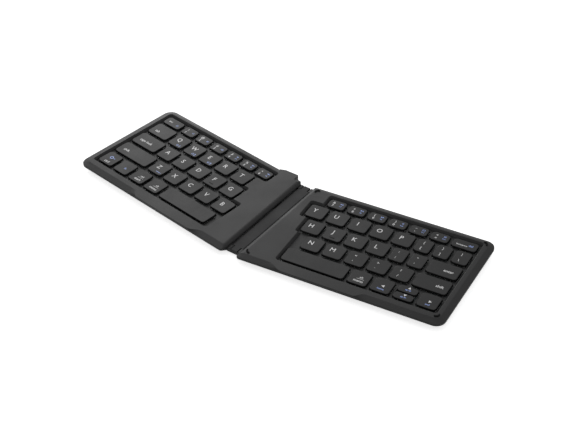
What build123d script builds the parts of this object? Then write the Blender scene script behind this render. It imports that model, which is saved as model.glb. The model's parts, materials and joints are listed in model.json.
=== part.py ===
from build123d import *
import os
from collections import namedtuple
from math import asin, atan2, cos, degrees, radians, sin, tan

# A pocket keyboard in two halves that fold together about a narrow spine.
# Units are millimetres. The board lies open and flat on a desk: +X to the right,
# +Y to the back, +Z up. The origin is on the desk, midway between the outer edges
# and midway between the front and back ends of the open board.
#
# Both halves have the same outline, mirrored. Each is drawn as a left half, in
# board coordinates: s runs along the key rows from the outer edge to the hinge,
# t runs across the rows from the front edge to the back.

os.makedirs("parts", exist_ok=True)

# ---- Outline ------------------------------------------------------------------
OPEN_WIDTH = 290.0          # over both halves, open
HALF_DEPTH = 85.5           # front edge to back edge, square to the key rows
SPLAY = 7.35                # degrees that the rows run down towards the hinge
OUTER_CORNER_R = 6.5
HINGE_CORNER_R = 2.5        # corners beside the spine
HINGE_EDGE_X = 5.2          # hinge-side edge of each half, from the middle

# ---- Heights, from the desk up --------------------------------------------------
FOOT_HEIGHT = 0.5           # gap between the desk and the bottom case
BOTTOM_CASE_HEIGHT = 3.8
TOP_CASE_HEIGHT = 2.0
BOTTOM_FLOOR = 0.9          # floor thickness of the bottom case
LIP_HEIGHT = 1.3            # upright lip of the top case below its sloping edge
RECESS_DEPTH = 2.0          # case top to the web between the keys
WEB_THICKNESS = 0.8
TRAY_WALL = 0.8             # side of the tray that the web is the bottom of
MEMBRANE_DROP = 0.4         # clear height between the web and the membrane
MEMBRANE_THICKNESS = 0.3
PLATE_THICKNESS = 0.3
KEY_DROP = 0.5              # key tops below the case top
KEY_TRAVEL = 1.2
KEY_END_GAP = 0.2           # left under a pressed key

# ---- Sloping edges of the top case ----------------------------------------------
SIDE_BEVEL = 4.2
BACK_BEVEL = 2.4
FRONT_BEVEL = 4.8
HINGE_ROUND = 3.2           # width of the rounded edge beside the spine
RIDGE_CORNER_R = 3.0
FLAT_FRONT = (60.0, 108.0)  # stretch of the front edge, along s, with no slope
SWOOSH_OUTER = 8.0          # length over which the slope fades out, outer side
SWOOSH_INNER = 12.0         # the same, hinge side

# ---- Bottom case ----------------------------------------------------------------
UNDERSIDE_INSET = 5.5       # the underside draws in by this much, except at the hinge
HINGE_WALL = 1.2
RIM_WALL = 1.6              # rim where the two cases meet
UNDERSIDE_CORNER_R = 2.5

# ---- Key rows -------------------------------------------------------------------
LEFT_MARGIN = 6.5           # outer edge of the left half to its keys
RIGHT_MARGIN = 9.2          # the same on the right half
FRONT_MARGIN = 10.9         # front edge of the half to the first row
KEY_GAP = 2.2
LETTER_WIDTH = 13.34
NUMBER_WIDTH = 12.54
NARROW_WIDTH = 10.67        # brackets and quotes
ROW_PITCH = 15.16
NUMBER_ROW_GAP = 1.7
NUMBER_DEPTH = 8.5
ARROW_SPLIT = 0.5           # between the up and down keys
ESC_WIDTH = 16.2
TAB_WIDTH = 18.95
CAPS_WIDTH = 23.8
LEFT_SHIFT_WIDTH = 31.75
SPACE_WIDTH = 44.2
BACKSPACE_WIDTH = 17.0
ENTER_WIDTH = 21.0
RIGHT_SHIFT_WIDTH = 23.2

# ---- Keycaps and what works them -------------------------------------------------
KEY_CORNER_R = 2.3
KEY_DRAFT = 0.35            # key top smaller than its skirt, each side
KEY_TOP_THICKNESS = 0.8
KEY_WALL = 0.8
KEY_EDGE_R = 0.3
WINDOW_CLEARANCE = 0.25     # key skirt to the window in the web
STEM_R = 1.1
STEM_LENGTH = 0.45
DOME_BASE_R = 2.0
DOME_TOP_R = 1.2
FRAME_BAR = 0.7             # width of a scissor frame's bars
FRAME_THICKNESS = 0.4
FRAME_PLAY = 0.15           # between the two frames of a scissor
FRAME_WIDTH = 9.8
FRAME_CLEARANCE = 0.5       # frame to the inside of its key
HOMING_BAR = (3.2, 0.5, 0.2)
HOMING_BAR_OFFSET = 3.6     # in front of the key's middle

# ---- Recess round the keys --------------------------------------------------------
RECESS_MARGIN = 0.9         # keys to the foot of the slope round them
RECESS_SLOPE = 1.3          # width of that slope
RECESS_STEP = 0.3           # upright part below it
RECESS_CORNER_R = 0.8
PLATE_MARGIN = 1.0          # support plate beyond the keys
MEMBRANE_MARGIN = 0.4

# ---- Hinge ------------------------------------------------------------------------
AXIS_SPACING = 7.5          # between the two hinge rods
CLOSED_GAP = 0.6            # between the two case tops when folded
ROD_R = 0.5
ROD_RUNNING_FIT = 0.03      # radial, rod in the spine
BARREL_R = 1.25
HINGE_CLEARANCE = 0.2       # between the spine and the halves
EAR_LENGTH = 4.0
SPINE_FRONT_INSET = 5.8     # front end of the half's hinge edge to the spine's end
SPINE_BACK_INSET = 1.0
SPINE_UNDERSIDE = 0.6       # bottom case underside to the spine's underside
CHANNEL_WIDTH = 3.8         # hollow for the ribbon cable along the spine
SPINE_ROOF = 0.85
BASE_THICKNESS = 0.5
BASE_LEDGE = 0.6

# ---- Electronics --------------------------------------------------------------------
BATTERY_THICKNESS = 2.7
BATTERY_LENGTH = 38.0
PART_CLEARANCE = 0.6        # beside the battery and the circuit board
BOARD_THICKNESS = 0.6
BOARD_GAP = 6.5             # battery to circuit board, with a screw between them
CHIP_SIZES = ((6.0, 5.0, 1.0), (3.0, 3.0, 0.8), (4.0, 2.0, 1.2))
PORT_WIDTH = 8.94
PORT_HEIGHT = 3.26
PORT_SHELL = 0.3
PORT_LENGTH = 7.3
PORT_SETBACK = 0.3          # behind the mouth of its boss
PORT_CLEARANCE = 0.1
PORT_X = 16.2               # from the middle of the board
PORT_REACH = 2.6            # boss beyond the back edge
PORT_FLARE = 4.0            # over which its outer side runs back into that edge
PORT_BOSS_WALL = 0.85
PORT_BOSS_FRONT_WALL = 3.0
PORT_TONGUE_THICKNESS = 0.7
RIBBON_WIDTH = 8.0
RIBBON_THICKNESS = 0.2
RIBBON_CLEARANCE = 0.15

# ---- Small parts --------------------------------------------------------------------
FOOT_SIZE = (14.0, 4.0)
FOOT_SOCKET = 0.3
FOOT_CLEARANCE = 0.1
FOOT_INSET_S = 22.0
FOOT_INSET_T = 12.0
BUMPER_R = 2.0              # centre line of each corner bumper
BUMPER_WIDTH = 0.9
BUMPER_ARC = 100.0
BUMPER_SOCKET = 0.3
BUMPER_CLEARANCE = 0.1      # bumper to the other half when folded
MAGNET_SIZE = (8.0, 3.0, 1.6)
MAGNET_POSITIONS = (40.0, 95.0)
MAGNET_T = 7.0
MAGNET_CLEARANCE = 0.1
MAGNET_COVER = 0.9          # case above each magnet
SCREW_R = 0.8
SCREW_HEAD_R = 1.4
SCREW_HEAD_HEIGHT = 0.6
SCREW_LENGTH = 4.2
SCREW_CLEARANCE = 0.15
SCREW_BOSS_R = 1.6
SCREW_POSITIONS = (16.0, 67.0)
SCREW_HINGE_INSET = 16.8    # third front screw, from the hinge edge
SCREW_T = 7.3
POST_R = 1.2

# ---- Values that follow from the above -------------------------------------------
SLOPE = radians(SPLAY)
PARTING_Z = FOOT_HEIGHT + BOTTOM_CASE_HEIGHT
CASE_TOP_Z = PARTING_Z + TOP_CASE_HEIGHT
FLOOR_Z = FOOT_HEIGHT + BOTTOM_FLOOR
WEB_TOP_Z = CASE_TOP_Z - RECESS_DEPTH
WEB_BOTTOM_Z = WEB_TOP_Z - WEB_THICKNESS
MEMBRANE_TOP_Z = WEB_BOTTOM_Z - MEMBRANE_DROP
PLATE_TOP_Z = MEMBRANE_TOP_Z - MEMBRANE_THICKNESS
PLATE_BOTTOM_Z = PLATE_TOP_Z - PLATE_THICKNESS
KEY_TOP_Z = CASE_TOP_Z - KEY_DROP
KEY_SKIRT_Z = MEMBRANE_TOP_Z + KEY_END_GAP + KEY_TRAVEL
KEY_CEILING_Z = KEY_TOP_Z - KEY_TOP_THICKNESS
KEY_DEPTH = ROW_PITCH - KEY_GAP
AXIS_X = AXIS_SPACING / 2
AXIS_Z = CASE_TOP_Z - (AXIS_SPACING - CLOSED_GAP) / 2
SPINE_TOP_Z = AXIS_Z + BARREL_R
SPINE_BOTTOM_Z = FOOT_HEIGHT + SPINE_UNDERSIDE
CORNER_X = OPEN_WIDTH / 2 + OUTER_CORNER_R * (cos(SLOPE) + sin(SLOPE) - 1)


def front_corner_y():
    """Y of the sharp outer front corner that centres the open board on the origin."""
    corner_loss = OUTER_CORNER_R * (cos(SLOPE) + sin(SLOPE) - 1)
    highest = HALF_DEPTH * cos(SLOPE) - corner_loss
    corner_run = CORNER_X - HINGE_EDGE_X - HINGE_CORNER_R
    lowest = -corner_run * tan(SLOPE) + HINGE_CORNER_R / cos(SLOPE) - HINGE_CORNER_R
    return -(highest + lowest) / 2


CORNER_Y = front_corner_y()


# ---- Board coordinates -------------------------------------------------------------
def on_board(s, t):
    """X and Y of a point of the left half."""
    x = -CORNER_X + s * cos(SLOPE) + t * sin(SLOPE)
    y = CORNER_Y - s * sin(SLOPE) + t * cos(SLOPE)
    return x, y


def board_place(s, t, z=0.0):
    """Location at a point of the left half, turned with its key rows."""
    x, y = on_board(s, t)
    return Location((x, y, z), (0, 0, -SPLAY))


def s_at_x(x, t):
    """s of the point on the line t that lies at the given X."""
    return (CORNER_X + x - t * sin(SLOPE)) / cos(SLOPE)


HINGE_FRONT_Y = on_board(s_at_x(-HINGE_EDGE_X, 0), 0)[1]
HINGE_BACK_Y = on_board(s_at_x(-HINGE_EDGE_X, HALF_DEPTH), HALF_DEPTH)[1]
SPINE_FRONT_Y = HINGE_FRONT_Y + SPINE_FRONT_INSET
SPINE_BACK_Y = HINGE_BACK_Y - SPINE_BACK_INSET


def mirrored(shape):
    return mirror(shape, about=Plane.YZ)


def box_between(low, high):
    size = [high[i] - low[i] for i in range(3)]
    middle = [(high[i] + low[i]) / 2 for i in range(3)]
    return Pos(*middle) * Box(*size)


# ---- Key layout ----------------------------------------------------------------------
# Each row lists its keys from the outer edge towards the hinge: (node, width).
Half = namedtuple("Half", "side margin rows")


def letters(names):
    return [("key_" + name, LETTER_WIDTH) for name in names]


LEFT_ROWS = [
    [("left_modifier_keys", LETTER_WIDTH)] * 4 + [("left_space_key", SPACE_WIDTH)],
    [("left_modifier_keys", LEFT_SHIFT_WIDTH)] + letters("zxcvb"),
    [("left_modifier_keys", CAPS_WIDTH)] + letters("asdfg"),
    [("left_modifier_keys", TAB_WIDTH)] + letters("qwert"),
    [("left_number_keys", ESC_WIDTH)] + [("left_number_keys", NUMBER_WIDTH)] * 6,
]
RIGHT_ROWS = [
    [("right_modifier_keys", LETTER_WIDTH), ("arrow_pair", LETTER_WIDTH)]
    + [("right_modifier_keys", LETTER_WIDTH)] * 2
    + [("right_space_key", SPACE_WIDTH)],
    [("right_modifier_keys", RIGHT_SHIFT_WIDTH)]
    + [("punctuation_keys", LETTER_WIDTH)] * 3 + letters("mn"),
    [("right_modifier_keys", ENTER_WIDTH)]
    + [("punctuation_keys", NARROW_WIDTH)] * 2 + letters("lkjh"),
    [("punctuation_keys", NARROW_WIDTH)] * 3 + letters("poiuy"),
    [("right_number_keys", BACKSPACE_WIDTH)] + [("right_number_keys", NUMBER_WIDTH)] * 6,
]
LEFT = Half("left", LEFT_MARGIN, LEFT_ROWS)
RIGHT = Half("right", RIGHT_MARGIN, RIGHT_ROWS)
HOMING_KEYS = ("key_f", "key_j")
NUMBER_ROW = len(LEFT_ROWS) - 1
POST_ROWS = (1, 3)          # rows with posts in front of them
POST_SHARES = (0.1, 0.5, 0.9)  # places of those posts along the row
BATTERY_ROWS = (0, 1, 2)    # rows beside the battery
BOARD_ROWS = (2, 3, 4)      # rows beside the circuit board


def row_span(index):
    """Front and back of a row, in t."""
    front = FRONT_MARGIN + index * ROW_PITCH
    if index < NUMBER_ROW:
        return front, front + KEY_DEPTH
    front = front - KEY_GAP + NUMBER_ROW_GAP
    return front, front + NUMBER_DEPTH


def row_end(half, index):
    """Hinge-side end of a row, in s; the two front rows share the longer one's end."""
    ends = []
    for row in half.rows[:2] if index < 2 else [half.rows[index]]:
        ends.append(half.margin + sum(width for _, width in row) + KEY_GAP * (len(row) - 1))
    return max(ends)


def key_slots(half):
    """(node, s, t, width, depth) of every key, at its middle."""
    slots = []
    for index, row in enumerate(half.rows):
        front, back = row_span(index)
        s = half.margin
        for node, width in row:
            middle = s + width / 2
            if node == "arrow_pair":
                depth = (back - front - ARROW_SPLIT) / 2
                slots.append(("right_modifier_keys", middle, front + depth / 2, width, depth))
                slots.append(("right_modifier_keys", middle, back - depth / 2, width, depth))
            else:
                slots.append((node, middle, (front + back) / 2, width, back - front))
            s += width + KEY_GAP
    return slots


def key_block(half, margin):
    """Stepped outline round all rows, in one piece."""
    block = None
    last = len(half.rows) - 1
    for index in range(last + 1):
        front, back = row_span(index)
        front -= margin if index == 0 else max(margin, KEY_GAP / 2)
        back += margin if index == last else max(margin, KEY_GAP / 2)
        end = row_end(half, index)
        middle = board_place((end + half.margin) / 2, (front + back) / 2)
        patch = middle * Rectangle(end - half.margin + 2 * margin, back - front)
        block = patch if block is None else block + patch
    return block


# ---- Outline of a half ----------------------------------------------------------------
def corners(inset, hinge_inset, front=None, back=None):
    """Sharp corners: front outer, front hinge, back hinge, back outer."""
    front = inset if front is None else front
    back = inset if back is None else back
    hinge_x = -HINGE_EDGE_X - hinge_inset
    back_t = HALF_DEPTH - back
    return [
        on_board(inset, front),
        on_board(s_at_x(hinge_x, front), front),
        on_board(s_at_x(hinge_x, back_t), back_t),
        on_board(inset, back_t),
    ]


def rounded_corner(before, corner, after, radius):
    """Tangent points and middle of the arc that rounds a corner."""
    corner = Vector(*corner)
    to_before = (Vector(*before) - corner).normalized()
    to_after = (Vector(*after) - corner).normalized()
    half_angle = radians(to_before.get_angle(to_after)) / 2
    reach = radius / tan(half_angle)
    bisector = (to_before + to_after).normalized()
    middle = corner + bisector * (radius / sin(half_angle) - radius)
    return corner + to_before * reach, middle, corner + to_after * reach


def outline_face(z, sharp, outer_r, hinge_r, front_breaks=(), front_curves=()):
    """Face of a half's outline at height z, with its front edge cut at front_breaks.

    front_curves holds the numbers of the front stretches that are S curves.
    """
    radii = (outer_r, hinge_r, hinge_r, outer_r)
    arcs = []
    for i in range(4):
        arcs.append(rounded_corner(sharp[i - 1], sharp[i], sharp[(i + 1) % 4], radii[i]))
    front = [arcs[0][2]] + [Vector(*p) for p in front_breaks] + [arcs[1][0]]
    along = (arcs[1][0] - arcs[0][2]).normalized()
    edges = []
    for i in range(len(front) - 1):
        if i in front_curves:
            edges.append(Spline(front[i], front[i + 1], tangents=[along, along]))
        else:
            edges.append(Line(front[i], front[i + 1]))
    for i in (1, 2, 3):
        edges.append(ThreePointArc(*arcs[i]))
        edges.append(Line(arcs[i][2], arcs[(i + 1) % 4][0]))
    edges.append(ThreePointArc(*arcs[0]))
    return Pos(0, 0, z) * make_face(Curve() + edges)


def front_breaks(inset):
    """Where the front slope fades out and comes back, at the given inset of the slope."""
    start, end = FLAT_FRONT
    return [
        on_board(start - SWOOSH_OUTER, inset),
        on_board(start, 0),
        on_board(end, 0),
        on_board(end + SWOOSH_INNER, inset),
    ]


# ---- Cases ------------------------------------------------------------------------------
def case_blank():
    """Outside of the top case, solid: upright lip, sloping edges, rounded hinge edge."""
    lip = outline_face(PARTING_Z, corners(0, 0), OUTER_CORNER_R, HINGE_CORNER_R, front_breaks(0))
    blank = extrude(lip, LIP_HEIGHT)
    ridge = outline_face(
        CASE_TOP_Z,
        corners(SIDE_BEVEL, 0, FRONT_BEVEL, BACK_BEVEL),
        RIDGE_CORNER_R,
        HINGE_CORNER_R,
        front_breaks(FRONT_BEVEL),
        (1, 3),
    )
    blank += loft([Pos(0, 0, LIP_HEIGHT) * lip, ridge], ruled=True)
    return blank - hinge_edge_cutter()


def hinge_edge_cutter():
    """What is cut away to round the top case down to the parting plane at the hinge."""
    corner = Pos(-HINGE_EDGE_X, CASE_TOP_Z) * Rectangle(
        2 * HINGE_ROUND, 2 * TOP_CASE_HEIGHT
    )
    kept = Pos(-HINGE_EDGE_X - HINGE_ROUND, PARTING_Z) * Ellipse(HINGE_ROUND, TOP_CASE_HEIGHT)
    inside = Pos(-HINGE_EDGE_X - HINGE_ROUND, CASE_TOP_Z) * Rectangle(
        2 * HINGE_ROUND, 2 * TOP_CASE_HEIGHT
    )
    profile = (corner & inside) - kept
    length = HALF_DEPTH * 2
    return extrude(Plane.XZ.offset(-length / 2) * profile, length)


def window_sketch(width, depth):
    return RectangleRounded(
        width + 2 * WINDOW_CLEARANCE,
        depth + 2 * WINDOW_CLEARANCE,
        KEY_CORNER_R + WINDOW_CLEARANCE,
    )


def key_windows(half):
    """Holes through the web, one for each key; the split arrow keys share one."""
    windows = []
    for index, row in enumerate(half.rows):
        front, back = row_span(index)
        s = half.margin
        for _, width in row:
            place = board_place(s + width / 2, (front + back) / 2, WEB_BOTTOM_Z)
            windows.append(extrude(place * window_sketch(width, back - front), WEB_THICKNESS))
            s += width + KEY_GAP
    return windows


def magnet_pockets():
    size = MAGNET_SIZE
    depth = TOP_CASE_HEIGHT - MAGNET_COVER
    pockets = []
    for s in MAGNET_POSITIONS:
        pocket = Box(size[0] + 2 * MAGNET_CLEARANCE, size[1] + 2 * MAGNET_CLEARANCE, depth)
        pockets.append(board_place(s, MAGNET_T, PARTING_Z + depth / 2) * pocket)
    return pockets


HINGE_SCREW = on_board(s_at_x(-HINGE_EDGE_X, SCREW_T) - SCREW_HINGE_INSET, SCREW_T)
BATTERY_FRONT_Y = HINGE_SCREW[1] + SCREW_BOSS_R + SCREW_CLEARANCE
WEDGE_SCREW_X = -HINGE_EDGE_X - HINGE_WALL - SCREW_BOSS_R - SCREW_CLEARANCE
WEDGE_SCREW_Y = BATTERY_FRONT_Y + BATTERY_LENGTH + BOARD_GAP / 2


def screw_places():
    """X and Y of the four screws of a half."""
    places = [on_board(s, SCREW_T) for s in SCREW_POSITIONS]
    return places + [HINGE_SCREW, (WEDGE_SCREW_X, WEDGE_SCREW_Y)]


def screw_bosses():
    """Posts that hang from the top case to the floor, drilled for the screws."""
    bosses = []
    height = PARTING_Z - FLOOR_Z
    for x, y in screw_places():
        boss = Pos(x, y, FLOOR_Z + height / 2) * Cylinder(SCREW_BOSS_R, height)
        bosses.append(boss)
    return bosses


def screw_holes():
    holes = []
    top = FOOT_HEIGHT + SCREW_LENGTH
    for x, y in screw_places():
        holes.append(Pos(x, y, (FOOT_HEIGHT + top) / 2) * Cylinder(SCREW_R, top - FOOT_HEIGHT))
    return holes


def top_case(half):
    tray = Pos(0, 0, WEB_BOTTOM_Z) * key_block(half, RECESS_MARGIN + TRAY_WALL)
    case = case_blank() + extrude(tray, PARTING_Z - WEB_BOTTOM_Z) - recess(half)
    case = case - key_windows(half) - magnet_pockets()
    return case + screw_bosses() - screw_holes()


def recess(half):
    """Hollow round the keys, with sloping sides."""
    sharp = key_block(half, RECESS_MARGIN)
    core = offset(sharp, -RECESS_CORNER_R, kind=Kind.INTERSECTION)
    foot = offset(core, RECESS_CORNER_R)
    rise = RECESS_DEPTH - RECESS_STEP
    spread = degrees(atan2(RECESS_SLOPE, rise))
    slope = extrude(Pos(0, 0, WEB_TOP_Z + RECESS_STEP) * foot, rise, taper=-spread)
    return extrude(Pos(0, 0, WEB_TOP_Z) * foot, RECESS_STEP) + slope


def bottom_case(half):
    outside = loft(
        [
            outline_face(
                FOOT_HEIGHT,
                corners(UNDERSIDE_INSET, SPINE_UNDERSIDE),
                UNDERSIDE_CORNER_R,
                HINGE_CORNER_R,
            ),
            outline_face(PARTING_Z, corners(0, 0), OUTER_CORNER_R, HINGE_CORNER_R),
        ],
        ruled=True,
    )
    rise_share = (PARTING_Z - FLOOR_Z) / BOTTOM_CASE_HEIGHT
    floor_inset = RIM_WALL + UNDERSIDE_INSET * rise_share
    inside = loft(
        [
            outline_face(
                FLOOR_Z,
                corners(floor_inset, HINGE_WALL),
                UNDERSIDE_CORNER_R,
                HINGE_CORNER_R,
            ),
            outline_face(
                PARTING_Z,
                corners(RIM_WALL, HINGE_WALL),
                OUTER_CORNER_R - RIM_WALL,
                HINGE_CORNER_R,
            ),
        ],
        ruled=True,
    )
    case = outside - inside + plate_posts(half)
    head_holes = []
    for x, y in screw_places():
        cone_height = SCREW_HEAD_HEIGHT
        head = Pos(x, y, FOOT_HEIGHT + cone_height / 2) * Cone(
            SCREW_HEAD_R + SCREW_CLEARANCE, SCREW_R + SCREW_CLEARANCE, cone_height
        )
        neck = Pos(x, y, FOOT_HEIGHT + BOTTOM_FLOOR / 2) * Cylinder(
            SCREW_R + SCREW_CLEARANCE, BOTTOM_FLOOR
        )
        head_holes += [head, neck]
    return case - head_holes - foot_sockets() + hinge_ears() - ear_bores()


def plate_posts(half):
    """Posts under the support plate, between two rows of keys."""
    posts = []
    height = PLATE_BOTTOM_Z - FLOOR_Z
    for index in POST_ROWS:
        t = FRONT_MARGIN + index * ROW_PITCH - KEY_GAP / 2
        length = row_end(half, index) - half.margin
        for share in POST_SHARES:
            s = half.margin + length * share
            posts.append(board_place(s, t, FLOOR_Z + height / 2) * Cylinder(POST_R, height))
    return posts


# ---- Feet ---------------------------------------------------------------------------------
def foot_places():
    end_s = s_at_x(-HINGE_EDGE_X, FOOT_INSET_T) - FOOT_INSET_S
    places = []
    for t in (FOOT_INSET_T, HALF_DEPTH - FOOT_INSET_T):
        places += [(FOOT_INSET_S, t), (end_s, t)]
    return places


def foot_sockets():
    sockets = []
    for s, t in foot_places():
        shape = SlotOverall(FOOT_SIZE[0] + 2 * FOOT_CLEARANCE, FOOT_SIZE[1] + 2 * FOOT_CLEARANCE)
        sockets.append(extrude(board_place(s, t, FOOT_HEIGHT) * shape, FOOT_SOCKET))
    return sockets


def rubber_feet():
    feet = []
    for s, t in foot_places():
        shape = board_place(s, t) * SlotOverall(*FOOT_SIZE)
        feet.append(extrude(shape, FOOT_HEIGHT + FOOT_SOCKET))
    return feet


# ---- Hinge ----------------------------------------------------------------------------------
def ear_profile():
    """Section of an ear on X and Z: round about the rod, square towards the case."""
    root_x = -HINGE_EDGE_X - HINGE_WALL / 2
    low = Pos((root_x - AXIS_X + BARREL_R) / 2, (SPINE_BOTTOM_Z + AXIS_Z) / 2) * Rectangle(
        BARREL_R - AXIS_X - root_x, AXIS_Z - SPINE_BOTTOM_Z
    )
    high = Pos((root_x - AXIS_X) / 2, AXIS_Z + BARREL_R / 2) * Rectangle(
        -AXIS_X - root_x, BARREL_R
    )
    return low + high + Pos(-AXIS_X, AXIS_Z) * Circle(BARREL_R)


def along_y(profile, start, end):
    """Extrude a section drawn on X and Z from one Y to another."""
    return extrude(Plane.XZ.offset(-start) * profile, -(end - start))


def ear_spans():
    return [
        (SPINE_FRONT_Y, SPINE_FRONT_Y + EAR_LENGTH),
        (SPINE_BACK_Y - EAR_LENGTH, SPINE_BACK_Y),
    ]


def hinge_ears():
    return [along_y(ear_profile(), *span) for span in ear_spans()]


def rod_sketch(radius):
    return Pos(-AXIS_X, AXIS_Z) * Circle(radius)


def ear_bores():
    return [along_y(rod_sketch(ROD_R), *span) for span in ear_spans()]


def hinge_rod():
    return along_y(rod_sketch(ROD_R), SPINE_FRONT_Y, SPINE_BACK_Y)


BODY_FRONT_Y = SPINE_FRONT_Y + EAR_LENGTH + HINGE_CLEARANCE
BODY_BACK_Y = SPINE_BACK_Y - EAR_LENGTH - HINGE_CLEARANCE
TONGUE_WIDTH = AXIS_SPACING - 2 * BARREL_R - 2 * HINGE_CLEARANCE


def spine_section():
    """Section of the spine between the ears: flat top, a barrel about each rod."""
    width = AXIS_SPACING + 2 * BARREL_R
    low = Pos(0, (SPINE_BOTTOM_Z + AXIS_Z) / 2) * Rectangle(width, AXIS_Z - SPINE_BOTTOM_Z)
    high = Pos(0, AXIS_Z + BARREL_R / 2) * Rectangle(AXIS_SPACING, BARREL_R)
    barrels = Pos(-AXIS_X, AXIS_Z) * Circle(BARREL_R) + Pos(AXIS_X, AXIS_Z) * Circle(BARREL_R)
    return low + high + barrels


def base_sketch(clearance):
    width = CHANNEL_WIDTH + 2 * BASE_LEDGE - 2 * clearance
    return Pos(0, SPINE_BOTTOM_Z + BASE_THICKNESS / 2) * Rectangle(width, BASE_THICKNESS)


def spine_cover():
    body = along_y(spine_section(), BODY_FRONT_Y, BODY_BACK_Y)
    height = SPINE_TOP_Z - SPINE_BOTTOM_Z
    tongue = Pos(0, (SPINE_TOP_Z + SPINE_BOTTOM_Z) / 2) * Rectangle(TONGUE_WIDTH, height)
    cover = body + along_y(tongue, SPINE_FRONT_Y, SPINE_BACK_Y)
    bore = ROD_R + ROD_RUNNING_FIT
    bores = along_y(rod_sketch(bore), BODY_FRONT_Y, BODY_BACK_Y)
    channel_height = SPINE_TOP_Z - SPINE_ROOF - SPINE_BOTTOM_Z
    channel = Pos(0, SPINE_BOTTOM_Z + channel_height / 2) * Rectangle(
        CHANNEL_WIDTH, channel_height
    )
    cover = cover - bores - mirrored(bores)
    cover = cover - along_y(channel, BODY_FRONT_Y, BODY_BACK_Y)
    cover = cover - along_y(base_sketch(0), BODY_FRONT_Y, BODY_BACK_Y)
    return cover - ribbon_slot()


def spine_base():
    return along_y(
        base_sketch(PORT_CLEARANCE), BODY_FRONT_Y + PORT_CLEARANCE, BODY_BACK_Y - PORT_CLEARANCE
    )


# ---- Battery, circuit board, port and ribbon cable --------------------------------------
BOARD_FRONT_Y = BATTERY_FRONT_Y + BATTERY_LENGTH + BOARD_GAP
PORT_BACK_LINE_Y = on_board(s_at_x(-PORT_X, HALF_DEPTH), HALF_DEPTH)[1]
PORT_FACE_Y = PORT_BACK_LINE_Y + PORT_REACH
PORT_WELL_Y = PORT_FACE_Y - PORT_BOSS_FRONT_WALL
BOARD_BACK_Y = PORT_WELL_Y - PORT_CLEARANCE
BOARD_TOP_Z = FLOOR_Z + BOARD_THICKNESS
PORT_Z = BOARD_TOP_Z + PORT_HEIGHT / 2
WEDGE_INNER_X = -HINGE_EDGE_X - HINGE_WALL - PART_CLEARANCE
RIBBON_Y = BOARD_FRONT_Y + RIBBON_WIDTH / 2 + PART_CLEARANCE


def wedge_outer_x(indexes):
    """X beside the hinge-side ends of the given rows of the left half, past its tray."""
    margin = RECESS_MARGIN + TRAY_WALL
    ends = []
    for index in indexes:
        back = row_span(index)[1] + margin
        ends.append(on_board(row_end(LEFT, index) + margin, back)[0])
    return max(ends) + PART_CLEARANCE


def battery():
    low = (wedge_outer_x(BATTERY_ROWS), BATTERY_FRONT_Y, FLOOR_Z)
    high = (WEDGE_INNER_X, BATTERY_FRONT_Y + BATTERY_LENGTH, FLOOR_Z + BATTERY_THICKNESS)
    cell = box_between(low, high)
    return fillet(cell.edges().filter_by(Axis.Y), BATTERY_THICKNESS / 4)


def main_board():
    outer_x = wedge_outer_x(BOARD_ROWS)
    low = (outer_x, BOARD_FRONT_Y, FLOOR_Z)
    high = (WEDGE_INNER_X, HINGE_BACK_Y - UNDERSIDE_INSET - RIM_WALL, BOARD_TOP_Z)
    board = box_between(low, high)
    half_tongue = PORT_WIDTH / 2
    tongue = box_between(
        (-PORT_X - half_tongue, BOARD_FRONT_Y, FLOOR_Z),
        (-PORT_X + half_tongue, BOARD_BACK_Y, BOARD_TOP_Z),
    )
    return board + tongue + board_chips(outer_x)


def board_chips(outer_x):
    """Radio module, charge controller and battery connector on the circuit board."""
    chips = []
    middle_x = (outer_x + WEDGE_INNER_X) / 2
    y = RIBBON_Y + RIBBON_WIDTH / 2 + PART_CLEARANCE
    for length, width, height in CHIP_SIZES:
        y += width / 2
        chip = Pos(middle_x, y, BOARD_TOP_Z + height / 2) * Box(length, width, height)
        chips.append(chip)
        y += width / 2 + PART_CLEARANCE
    return chips


def port_sketch(grow):
    return Pos(-PORT_X, PORT_Z) * SlotOverall(PORT_WIDTH + 2 * grow, PORT_HEIGHT + 2 * grow)


def charge_port():
    """Metal shell, open at the back, with its contact tongue."""
    back = PORT_FACE_Y - PORT_SETBACK
    front = back - PORT_LENGTH
    shell = along_y(port_sketch(0), front, back)
    shell = shell - along_y(port_sketch(-PORT_SHELL), front + 2 * PORT_SHELL, back)
    tongue_width = PORT_WIDTH - PORT_HEIGHT
    half = tongue_width / 2
    tongue = box_between(
        (-PORT_X - half, front + PORT_SHELL, PORT_Z - PORT_TONGUE_THICKNESS / 2),
        (-PORT_X + half, back - 2 * PORT_SHELL, PORT_Z + PORT_TONGUE_THICKNESS / 2),
    )
    return shell + tongue


def port_boss(low_z, high_z):
    """Block at the back edge that surrounds the port, with a flared outer side."""
    half = PORT_WIDTH / 2 + PORT_BOSS_WALL
    outer_x, inner_x = -PORT_X - half, -PORT_X + half
    flare_x = outer_x - PORT_FLARE
    flare_t = HALF_DEPTH - PORT_CLEARANCE
    flare_y = on_board(s_at_x(flare_x, flare_t), flare_t)[1]
    front_y = PORT_BACK_LINE_Y - BACK_BEVEL - RIM_WALL
    sides = Polyline(
        (inner_x, front_y),
        (inner_x, PORT_FACE_Y),
        (outer_x, PORT_FACE_Y),
        (flare_x, flare_y),
        (flare_x, flare_y - RIM_WALL),
        (outer_x, front_y),
        close=True,
    )
    outline = make_face(sides)
    outline = fillet(outline.vertices().group_by(Axis.Y)[-1], PORT_BOSS_WALL)
    return extrude(Pos(0, 0, low_z) * outline, high_z - low_z)


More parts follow.
